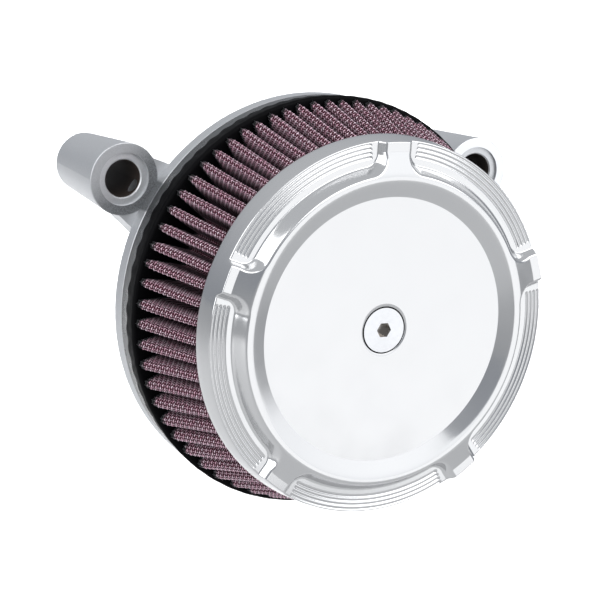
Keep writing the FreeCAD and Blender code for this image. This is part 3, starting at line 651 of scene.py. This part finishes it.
def make_element():
    element = Element()
    gauze = make_gauze(element, gauze_material())
    # Each wire: its painted shade where it lies under, then the two tones of its painted highlight where it
    # passes over; the lengthwise wires are painted darker.
    hoop_wire = wire_material(
        "coated_wire", (0.075, 0.013, 0.027), (0.88, 0.52, 0.65), (1.0, 0.83, 0.92), hoop_height)
    length_wire = wire_material(
        "painted_shade_wire", (0.04, 0.007, 0.016), (0.82, 0.46, 0.59), (1.0, 0.80, 0.90), length_height)
    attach(gauze, "filter")
    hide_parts("pleated_media")
    outer = make_screen(element, "outer_screen", WIRE_CLEAR, hoop_wire, length_wire)
    inner = make_screen(element, "inner_screen", -GAUZE - WIRE_CLEAR, hoop_wire, length_wire)
    for pieces, node in ((outer, "outer_mesh"), (inner, "inner_mesh")):
        for piece in pieces:
            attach(piece, "filter")
        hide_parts(node)


def dress_cad_nodes():
    """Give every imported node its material, those that a finer piece replaces included."""
    chrome, cast, black = chrome_material(), cast_material(), black_material()
    steel, gauze = steel_material(), gauze_material()
    by_slot = {
        "cover_chrome": chrome, "cast_plate": cast, "cap_rubber": black, "seal_rubber": black,
        "screw_steel": steel, "bracket_steel": steel, "pleat_gauze": gauze, "pleat_wire": gauze,
    }
    for part in frame["record"]["subparts"]:
        nodes[part["node"]].data.materials.clear()
        nodes[part["node"]].data.materials.append(by_slot[part["material_slot"]])
    nodes["cover_screw"].material_slots[0].material = screw_material()


# ---------------------------------------------------------------- the cover

# The cover's sizes, in mm. A flat disc lies inside a ring that rises to a crest and then falls to the
# rim. Five pads are sunk in the falling side, with four fine lines in each and spokes between them.
SPOKES = 5
SPOKE_TURN = 2 * math.pi / SPOKES
DISC, DISC_RADIUS, RISE = 82.0, 53.3, 0.3636
CREST, CREST_RADIUS, FALL = 84.8, 61.0, 0.2766
PAD_FLOOR, PAD_RADIUS, PAD_CORNER, PAD_WALL = 78.9, 65.6, 4.5, 1.868
SPOKE_HALF = 7.3
LINES = tuple(69.05 + 1.72 * number for number in range(4))
LINE_HALF, LINE_DEPTH, LINE_START = 0.7, 0.46, math.radians(8)
RIM_RADIUS, RIM_REAR, RIM_TAPER = 76.2, 69.0, 0.09244

# The cover's inside, from the rim's rear edge to the screw's countersink: radius and distance forward.
INSIDE = (
    (76.1, 69.15), (75.9, RIM_REAR), (75.05, RIM_REAR), (74.9, 69.2), (74.88, 69.5), (74.52, 75.7),
    (74.5, 76.1), (74.0, 76.6), (73.6, 76.6), (60, 76.6), (36, 76.6), (14.0, 76.6), (13.5, 76.6),
    (13.0, 76.2), (13.0, 75.9), (13.0, 73.9), (13.0, 73.7), (12.8, 73.5), (12.5, 73.5), (5.5, 73.5),
    (5.3, 73.5), (5.2, 73.6), (5.2, 73.9), (5.2, 76.5), (9.55, 81.5), (9.55, 81.95),
)


def smooth_min(first, second, blend):
    """The lower of two heights, rounded where they cross."""
    near = np.maximum(0, blend - np.abs(first - second)) / blend
    return np.minimum(first, second) - near ** 2 * blend / 4


def cover_face(radius, angle):
    """How far forward the cover's face is, in mm, at a radius and an angle from the right."""
    rise = DISC + (radius - DISC_RADIUS) * RISE
    fall = CREST - (radius - CREST_RADIUS) * FALL
    slope = np.maximum(DISC, smooth_min(rise, fall, 1.35))
    from_spoke = np.abs((angle - math.pi / 2 + SPOKE_TURN / 2) % SPOKE_TURN - SPOKE_TURN / 2)
    from_ring = radius - PAD_RADIUS
    from_side = np.abs(radius * np.sin(from_spoke)) - SPOKE_HALF
    to_centre = np.hypot(np.maximum(0, PAD_CORNER - from_ring), np.maximum(0, PAD_CORNER - from_side))
    in_corner = (from_ring < PAD_CORNER) & (from_side < PAD_CORNER)
    inside = np.where(in_corner, PAD_CORNER - to_centre, np.minimum(from_ring, from_side))
    wall = PAD_FLOOR - smooth_min(np.zeros_like(inside), PAD_WALL * inside, 0.9)
    face = smooth_min(slope, wall, 1.5)
    on_lines = np.clip((from_spoke - LINE_START) * radius / LINE_HALF, 0, 1)
    for line in LINES:
        off = np.clip(np.abs(radius - line) / LINE_HALF, 0, 1)
        face = face - LINE_DEPTH * on_lines * (1 - off ** 2) ** 2
    return face


def cover_wall(forward):
    """The radius of the cover's side, which narrows forward."""
    return RIM_RADIUS - (forward - RIM_REAR) * RIM_TAPER


def cover_columns():
    """The angles round the cover: close together beside the spokes and further apart between them."""
    fine = np.arange(2.5, 12.0, 0.25)
    coarse = np.arange(12.0, 36.0, 1.2)
    half = np.concatenate(((0.0, 1.25), fine, coarse))
    turn = np.concatenate((-half[:0:-1], half))
    return np.radians((turn[:, None] + 90 + 360 // SPOKES * np.arange(SPOKES)).T.ravel())


def cover_radii():
    """The radii across the cover's face: close together at the disc's edge, the pads' edge and the lines."""
    radii = [9.6, 11, 14, 20, 28, 36, 44, 50, 52.8, 53.2, 53.3, 53.4, 53.8]
    radii += [54.8, 56, 57.4, 58.6, 59.4, 60.2, 61.0]
    radii += list(np.arange(61.5, 67.6, 0.3)) + [67.9]
    over_line = (-0.7, -0.52, -0.35, -0.17, 0, 0.17, 0.35, 0.52, 0.7)
    radii += [line + step for line in LINES for step in over_line][:-1]
    return np.array(radii)[:, None]


def make_cover_shell():
    """The cover as one closed shell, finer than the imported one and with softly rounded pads."""
    angle = cover_columns()
    column = np.ones_like(angle)
    rows = [(radius * column, cover_face(radius * column, angle)) for radius in cover_radii()]
    start = rows[-1]
    lip_radius, lip = 75.25, 0.75
    edge = cover_face(lip_radius * column, angle)
    rim = (cover_wall(edge), edge)
    down = (cover_wall(edge - lip), edge - lip)
    for part in (0.25, 0.5, 0.75, 1.0):
        rows.append(tuple((1 - part) ** 2 * a + 2 * part * (1 - part) * b + part ** 2 * c
                          for a, b, c in zip(start, rim, down)))
    for forward in (76.0, 73.0, 69.6):
        rows.append((cover_wall(forward) * column, forward * column))
    for radius, forward in INSIDE:
        rows.append((radius * column, forward * column))
    points = [np.stack((radius * np.cos(angle), -forward, radius * np.sin(angle)), 1) * MM
              for radius, forward in rows]
    faces = grid_faces(len(rows), len(angle))
    chrome = nodes["cover"].material_slots[0].material
    shell = mesh_object("cover_shell", np.concatenate(points), faces, chrome)
    shell.data.set_sharp_from_angle(angle=SHARP_EDGE)
    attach(shell, "cover")
    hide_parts("cover")


make_camera()
make_studio()
dress_cad_nodes()
make_element()
make_cap_ring()
make_cover_shell()
